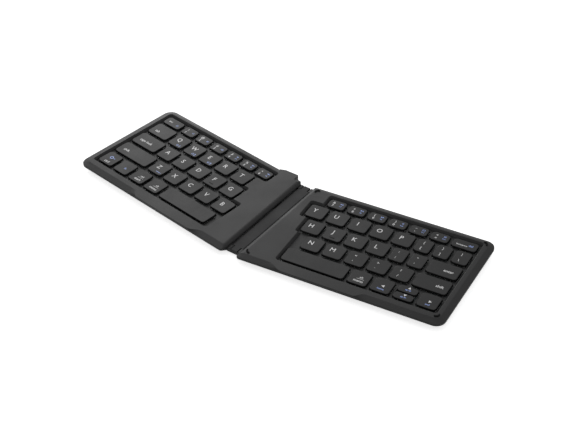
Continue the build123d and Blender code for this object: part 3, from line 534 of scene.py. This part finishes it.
class LegendSheet:
    """Collects the printed marks of one node's keys in one mesh with two inks."""

    MAIN = 0
    SECOND = 1

    def __init__(self, side, height):
        self.mesh = bmesh.new()
        self.turn = Matrix.Rotation(-side * LEFT_ROW_TURN, 4, "Z")
        self.shift = PRINT_SHIFT[side]
        self.height = height
        self.middle = (0.0, 0.0)
        self.ink = settings("keyboard_legends").ink_thickness
        self.weight = settings("keyboard_legends").small_weight

    def on_key(self, middle):
        self.middle = (middle[0] + self.shift[0], middle[1] + self.shift[1])

    def stamp(self, vertices, faces, ink_number):
        """Add flat faces, given in metres from the key's middle, with the ink's thickness."""
        place = self.turn @ Matrix.Translation((*self.middle, self.height))
        made = [self.mesh.verts.new(place @ Vector((x, y, 0))) for x, y in vertices]
        new_faces = []
        for face in faces:
            new_faces.append(self.mesh.faces.new([made[i] for i in face]))
            new_faces[-1].material_index = ink_number
        raised = bmesh.ops.extrude_face_region(self.mesh, geom=new_faces)
        lifted = [item for item in raised["geom"] if isinstance(item, bmesh.types.BMVert)]
        bmesh.ops.translate(self.mesh, verts=lifted, vec=(0, 0, self.ink))

    def text(self, words, x, y, height, ink_number=MAIN, boldness=None):
        """Print a text whose box is centred on x and y."""
        mesh = glyph_mesh(words, height / CAPITAL, self.weight if boldness is None else boldness)
        xs = [vertex.co.x for vertex in mesh.vertices]
        ys = [vertex.co.y for vertex in mesh.vertices]
        shift_x = -(min(xs) + max(xs)) / 2
        shift_y = -(min(ys) + max(ys)) / 2
        points = [(v.co.x + shift_x + x, v.co.y + shift_y + y) for v in mesh.vertices]
        faces = [tuple(polygon.vertices) for polygon in mesh.polygons]
        bpy.data.meshes.remove(mesh)
        self.stamp(points, faces, ink_number)

    def polygon(self, points, ink_number=MAIN):
        self.stamp(points, [range(len(points))], ink_number)

    def bar(self, x, y, length, width, ink_number=MAIN):
        half_length, half_width = length / 2, width / 2
        self.polygon(
            [(x - half_length, y - half_width), (x + half_length, y - half_width),
             (x + half_length, y + half_width), (x - half_length, y + half_width)], ink_number)

    def triangle(self, x, y, size, facing, ink_number=MAIN):
        """Triangle that points at an angle, with its middle at x and y."""
        corners = []
        for step, reach in ((0.0, 0.6), (0.68 * pi, 0.62), (-0.68 * pi, 0.62)):
            angle = facing + step
            corners.append((x + size * reach * cos(angle), y + size * reach * sin(angle)))
        self.polygon(corners, ink_number)

    def ring(self, x, y, radius, width, ink_number=MAIN, sides=20):
        inner = radius - width
        for step in range(sides):
            angles = [2 * pi * (step + i) / sides for i in (0, 1)]
            outer_edge = [(x + radius * cos(a), y + radius * sin(a)) for a in angles]
            inner_edge = [(x + inner * cos(a), y + inner * sin(a)) for a in reversed(angles)]
            self.polygon(outer_edge + inner_edge, ink_number)

    def finish(self, name, node):
        """Turn the marks into an object that rides with the node's keys."""
        bmesh.ops.remove_doubles(self.mesh, verts=self.mesh.verts, dist=0.0005 * MM)
        bmesh.ops.recalc_face_normals(self.mesh, faces=self.mesh.faces)
        mesh = bpy.data.meshes.new(name)
        self.mesh.to_mesh(mesh)
        self.mesh.free()
        mesh.materials.append(bpy.data.materials["main_ink"])
        mesh.materials.append(bpy.data.materials["second_ink"])
        piece = bpy.data.objects.new(name, mesh)
        bpy.context.scene.collection.objects.link(piece)
        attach(piece, NODE_BODY[node])
        return piece


CAPITAL = capital_height()


def side_of(node):
    """Half that carries a node: -1 on the left, 1 on the right."""
    low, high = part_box(node)
    return -1 if low.x + high.x < 0 else 1


def start_sheet(node):
    side = side_of(node)
    return LegendSheet(side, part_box(node)[1].z), key_middles(node, -side * LEFT_ROW_TURN)


def print_letter(node):
    """One letter near the middle of its key, with small second marks on a few keys."""
    values = settings("keyboard_legends")
    sheet, middles = start_sheet(node)
    if node in HOMING_KEYS:
        sheet.height -= HOMING_BAR_RISE
    sheet.on_key(middles[0])
    letter = node[-1].upper()
    sheet.text(letter, -0.5 * MM, 0.1 * MM, values.letter_height, boldness=values.letter_weight)
    channels = {"Q": "1", "W": "2", "E": "3"}
    if letter in channels:
        sheet.ring(2.6 * MM, -4.8 * MM, 0.8 * MM, 0.3 * MM, LegendSheet.SECOND)
        sheet.text(channels[letter], 4.6 * MM, -4.8 * MM, 1.9 * MM, LegendSheet.SECOND, 0.02)
    if letter == "Z":
        sheet.bar(3.0 * MM, -4.6 * MM, 3.8 * MM, 0.35 * MM, LegendSheet.SECOND)
        sheet.bar(5.5 * MM, -4.6 * MM, 0.5 * MM, 0.35 * MM, LegendSheet.SECOND)
    sheet.finish("legend_" + node, node)


def print_signs(sheet, middle, pair, x, top, bottom):
    """Two signs on one key, the shifted one behind the plain one."""
    values = settings("keyboard_legends")
    sheet.on_key(middle)
    sheet.text(pair[0], x, top, values.mark_height)
    sheet.text(pair[1], x, bottom, values.mark_height)


def second_mark(sheet, kind, x, y):
    """Small second-function sign in the second ink."""
    blue = LegendSheet.SECOND
    if kind == "back":
        for step in (-0.5, 0.6):
            sheet.triangle(x + step * MM, y, 1.2 * MM, pi, blue)
    elif kind == "play":
        sheet.triangle(x - 0.5 * MM, y, 1.3 * MM, 0, blue)
        for step in (0.5, 1.0):
            sheet.bar(x + step * MM, y, 0.25 * MM, 1.2 * MM, blue)
    elif kind == "forward":
        for step in (-0.6, 0.5):
            sheet.triangle(x + step * MM, y, 1.2 * MM, 0, blue)
    elif kind in ("quiet", "soft", "loud"):
        sheet.bar(x - 0.9 * MM, y, 0.45 * MM, 0.7 * MM, blue)
        sheet.triangle(x - 0.3 * MM, y, 1.3 * MM, pi, blue)
        if kind != "quiet":
            sheet.bar(x + 0.8 * MM, y, 0.9 * MM, 0.25 * MM, blue)
        if kind == "loud":
            sheet.bar(x + 0.8 * MM, y, 0.25 * MM, 0.9 * MM, blue)
    elif kind == "ring":
        sheet.ring(x, y, 0.7 * MM, 0.22 * MM, blue)
    elif kind == "bars":
        for step in (-0.5, 0.0, 0.5):
            sheet.bar(x, y + step * MM, 1.7 * MM, 0.22 * MM, blue)
    elif kind == "panel":
        for step in (-0.55, 0.55):
            sheet.bar(x, y + step * MM, 1.8 * MM, 0.22 * MM, blue)
        for step in (-0.8, 0.8):
            sheet.bar(x + step * MM, y, 0.22 * MM, 0.9 * MM, blue)
    else:
        sheet.text(kind, x, y, 1.0 * MM, blue)


def print_number_row(sheet, middles, pairs, marks, x):
    """Signs of one half's number keys: two main ones and one or two second ones."""
    for middle, pair, kinds in zip(middles, pairs, marks):
        print_signs(sheet, middle, pair, x, 0.35 * MM, -2.55 * MM)
        rows = (0.5 * MM, -1.75 * MM) if len(kinds) == 2 else (-0.6 * MM,)
        for kind, y in zip(kinds, rows):
            second_mark(sheet, kind, 4.0 * MM, y)


def print_number_keys():
    """Number rows of both halves, with esc and backspace."""
    values = settings("keyboard_legends")
    left, middles = start_sheet("left_number_keys")
    left.on_key(middles[0])
    left.text("esc", -2.3 * MM, -0.9 * MM, values.word_height * 0.8)
    second_mark(left, "panel", 4.9 * MM, -1.6 * MM)
    marks = (("ring",), ("bars",), ("panel",), ("quiet", "F4"), ("soft", "F5"), ("loud", "F6"))
    print_number_row(left, middles[1:], ("!1", "@2", "#3", "$4", "%5", "^6"), marks, -1.7 * MM)
    left.finish("legend_left_number_keys", "left_number_keys")
    right, middles = start_sheet("right_number_keys")
    marks = (("back", "F7"), ("play", "F8"), ("forward", "F9"), ("ring", "F10"),
             ("panel", "F11"), ("bars", "F12"))
    print_number_row(right, middles, ("&7", "*8", "(9", ")0", "_-", "+="), marks, -1.3 * MM)
    right.on_key(middles[6])
    right.text("backspace", -0.7 * MM, -1.9 * MM, values.word_height * 0.6)
    right.text("del", 5.0 * MM, -0.5 * MM, values.word_height * 0.8, LegendSheet.SECOND)
    right.finish("legend_right_number_keys", "right_number_keys")


def print_punctuation_keys():
    sheet, middles = start_sheet("punctuation_keys")
    for middle, pair in zip(middles, ("<,", ">.", "?/", ":;", "\"'", "{[", "}]", "|\\")):
        if pair in ("<,", ">.", "?/"):
            print_signs(sheet, middle, pair, -0.5 * MM, 1.6 * MM, -3.6 * MM)
        else:
            print_signs(sheet, middle, pair, 0.2 * MM, 1.8 * MM, -3.8 * MM)
    sheet.finish("legend_punctuation_keys", "punctuation_keys")


def print_two_words(sheet, middle, upper, lower):
    """Small word over a thin line over a larger word, towards the right of a key."""
    word = settings("keyboard_legends").word_height
    sheet.on_key(middle)
    sheet.text(upper, 2.2 * MM, -0.3 * MM, word * 0.75)
    sheet.bar(2.0 * MM, -1.9 * MM, 5.0 * MM, 0.2 * MM)
    sheet.text(lower, 1.5 * MM, -4.1 * MM, word * 0.95)


def print_left_modifier_keys():
    word = settings("keyboard_legends").word_height
    sheet, middles = start_sheet("left_modifier_keys")
    ctrl, fn, option, alt, shift, caps, tab = middles
    sheet.on_key(ctrl)
    sheet.text("ctrl", 0.9 * MM, -4.3 * MM, word)
    sheet.ring(0.4 * MM, 0.6 * MM, 1.4 * MM, 0.55 * MM, LegendSheet.SECOND)
    sheet.bar(3.0 * MM, 0.6 * MM, 1.4 * MM, 0.5 * MM, LegendSheet.SECOND)
    sheet.on_key(fn)
    sheet.text("fn", 1.7 * MM, -1.6 * MM, word * 0.8, LegendSheet.SECOND)
    print_two_words(sheet, option, "opt", "start")
    print_two_words(sheet, alt, "alt", "menu")
    for key, name, x, y in ((shift, "shift", -7.8, -1.7), (caps, "caps lock", -0.8, -1.8),
                            (tab, "tab", -2.4, -2.4)):
        sheet.on_key(key)
        sheet.text(name, x * MM, y * MM, word)
    sheet.finish("legend_left_modifier_keys", "left_modifier_keys")


def print_right_modifier_keys():
    """Arrow keys with a triangle and a second word, and alt, shift and enter."""
    word = settings("keyboard_legends").word_height
    sheet, middles = start_sheet("right_modifier_keys")
    alt, left, down, up, right, shift, enter = middles
    print_two_words(sheet, alt, "alt", "menu")
    for key, facing, name in ((left, pi, "home"), (right, 0, "end")):
        sheet.on_key(key)
        sheet.triangle(1.8 * MM, -1.3 * MM, 2.1 * MM, facing)
        sheet.text(name, 1.3 * MM, -4.2 * MM, word * 0.65, LegendSheet.SECOND)
    for key, facing, name in ((up, pi / 2, "pg up"), (down, -pi / 2, "pg dn")):
        sheet.on_key(key)
        sheet.triangle(1.6 * MM, 0.6 * MM, 1.9 * MM, facing)
        sheet.text(name, 1.4 * MM, -1.5 * MM, word * 0.55, LegendSheet.SECOND)
    sheet.on_key(shift)
    sheet.text("shift", 6.5 * MM, -1.5 * MM, word)
    sheet.on_key(enter)
    sheet.text("enter", 4.5 * MM, -1.6 * MM, word)
    sheet.finish("legend_right_modifier_keys", "right_modifier_keys")


class KEYBOARD_OT_legends(bpy.types.Operator):
    """Print the legends on the keys"""

    bl_idname = "keyboard.legends"
    bl_label = "Key legends"

    def execute(self, context):
        values = settings("keyboard_legends")
        ink("main_ink", values.main_ink)
        ink("second_ink", values.second_ink)
        for node in sorted(frame["nodes"]):
            if node.startswith("key_"):
                print_letter(node)
        print_number_keys()
        print_punctuation_keys()
        print_left_modifier_keys()
        print_right_modifier_keys()
        return {"FINISHED"}


# ---- Studio --------------------------------------------------------------------------------
def seen_white(tree):
    """One for camera, glossy and transmission rays."""
    rays = tree.nodes.new("ShaderNodeLightPath")
    total = None
    for name in ("Is Camera Ray", "Is Glossy Ray", "Is Transmission Ray"):
        if total is None:
            total = rays.outputs[name]
            continue
        add = tree.nodes.new("ShaderNodeMath")
        add.operation = "MAXIMUM"
        tree.links.new(total, add.inputs[0])
        tree.links.new(rays.outputs[name], add.inputs[1])
        total = add.outputs[0]
    return total


def light_world(values):
    world = bpy.data.worlds.new("studio")
    bpy.context.scene.world = world
    world.use_nodes = True
    tree = world.node_tree
    tree.nodes.clear()
    even = tree.nodes.new("ShaderNodeBackground")
    even.inputs["Color"].default_value = (1, 1, 1, 1)
    even.inputs["Strength"].default_value = values.sky_light
    white = tree.nodes.new("ShaderNodeBackground")
    white.inputs["Color"].default_value = (1, 1, 1, 1)
    white.inputs["Strength"].default_value = 1.0
    mix = tree.nodes.new("ShaderNodeMixShader")
    out = tree.nodes.new("ShaderNodeOutputWorld")
    tree.links.new(seen_white(tree), mix.inputs["Fac"])
    tree.links.new(even.outputs[0], mix.inputs[1])
    tree.links.new(white.outputs[0], mix.inputs[2])
    tree.links.new(mix.outputs[0], out.inputs["Surface"])


def add_lamp(name, place, target, size, power):
    lamp = bpy.data.lights.new(name, "AREA")
    lamp.shape = "RECTANGLE"
    lamp.size, lamp.size_y = size
    lamp.energy = power
    holder = bpy.data.objects.new(name, lamp)
    holder.location = place
    holder.rotation_euler = (Vector(target) - Vector(place)).to_track_quat("-Z", "Y").to_euler()
    bpy.context.scene.collection.objects.link(holder)


def add_floor(values):
    """Large pale floor, whiter to the camera, that keeps the object's shadow."""
    finish = Finish("pale_floor", (0.86, 0.86, 0.86), 0.9, specular=0.1)
    speckle = finish.spread(finish.noise(0.004), 0.3, 0.7)
    finish.colour(finish.blend(speckle, (0.855, 0.855, 0.855), (0.865, 0.865, 0.865)))
    tree = finish.tree
    glow = tree.nodes.new("ShaderNodeMath")
    glow.operation = "MULTIPLY"
    glow.inputs[1].default_value = values.floor_glow
    tree.links.new(seen_white(tree), glow.inputs[0])
    emission = tree.nodes.new("ShaderNodeEmission")
    tree.links.new(glow.outputs[0], emission.inputs["Strength"])
    add = tree.nodes.new("ShaderNodeAddShader")
    tree.links.new(finish.shader.outputs[0], add.inputs[0])
    tree.links.new(emission.outputs[0], add.inputs[1])
    tree.links.new(add.outputs[0], tree.nodes["Material Output"].inputs["Surface"])
    half = 4.0
    plane = bmesh.new()
    corners = [plane.verts.new(point) for point in
               ((-half, -half, 0), (half, -half, 0), (half, half, 0), (-half, half, 0))]
    plane.faces.new(corners)
    mesh = bpy.data.meshes.new("floor")
    plane.to_mesh(mesh)
    plane.free()
    mesh.materials.append(finish.material)
    floor = bpy.data.objects.new("floor", mesh)
    bpy.context.scene.collection.objects.link(floor)


def add_camera(values):
    azimuth, elevation, roll = values.camera_azimuth, values.camera_elevation, values.camera_roll
    back = Vector((sin(azimuth) * cos(elevation), -cos(azimuth) * cos(elevation), sin(elevation)))
    level = Vector((cos(azimuth), sin(azimuth), 0))
    upright = back.cross(level)
    right = cos(roll) * level + sin(roll) * upright
    up = cos(roll) * upright - sin(roll) * level
    lens = bpy.data.cameras.new("photo_camera")
    lens.sensor_width = 36.0
    lens.lens = values.camera_lens
    lens.clip_start = 0.01
    camera = bpy.data.objects.new("photo_camera", lens)
    place = Vector(values.camera_target) + values.camera_distance * back
    camera.matrix_world = Matrix.Translation(place) @ Matrix((right, up, back)).transposed().to_4x4()
    bpy.context.scene.collection.objects.link(camera)
    bpy.context.scene.camera = camera


class KEYBOARD_OT_studio(bpy.types.Operator):
    """Set up the floor, the lights and the camera"""

    bl_idname = "keyboard.studio"
    bl_label = "Studio"

    def execute(self, context):
        values = settings("keyboard_studio")
        context.scene.view_settings.view_transform = "Standard"
        light_world(values)
        add_lamp("lamp_behind_left", (-0.85, 0.85, 0.5), (-0.05, 0.0, 0.0), (0.6, 0.6), values.lamp_power)
        add_floor(values)
        add_camera(values)
        return {"FINISHED"}


class KEYBOARD_PT_panel(bpy.types.Panel):
    """Lists the keyboard's pieces in the sidebar"""

    bl_idname = "KEYBOARD_PT_panel"
    bl_label = "Folding Keyboard"
    bl_space_type = "VIEW_3D"
    bl_region_type = "UI"
    bl_category = "Keyboard"

    def draw(self, context):
        for operator in OPERATORS:
            self.layout.operator(operator.bl_idname)


OPERATORS = (
    KEYBOARD_OT_studio,
    KEYBOARD_OT_cases,
    KEYBOARD_OT_keycaps,
    KEYBOARD_OT_spine,
    KEYBOARD_OT_rubber,
    KEYBOARD_OT_metal_parts,
    KEYBOARD_OT_inner_parts,
    KEYBOARD_OT_legends,
)
SETTINGS = {
    "keyboard_finish": FinishSettings,
    "keyboard_legends": LegendSettings,
    "keyboard_studio": StudioSettings,
}


def register():
    for group in SETTINGS.values():
        bpy.utils.register_class(group)
    for operator in OPERATORS:
        bpy.utils.register_class(operator)
    bpy.utils.register_class(KEYBOARD_PT_panel)
    for name, group in SETTINGS.items():
        setattr(bpy.types.Scene, name, PointerProperty(type=group))


def unregister():
    for name in SETTINGS:
        delattr(bpy.types.Scene, name)
    bpy.utils.unregister_class(KEYBOARD_PT_panel)
    for operator in reversed(OPERATORS):
        bpy.utils.unregister_class(operator)
    for group in SETTINGS.values():
        bpy.utils.unregister_class(group)


def main():
    register()
    for operator in OPERATORS:
        group, name = operator.bl_idname.split(".")
        getattr(getattr(bpy.ops, group), name)()


if __name__ == "__main__":
    main()
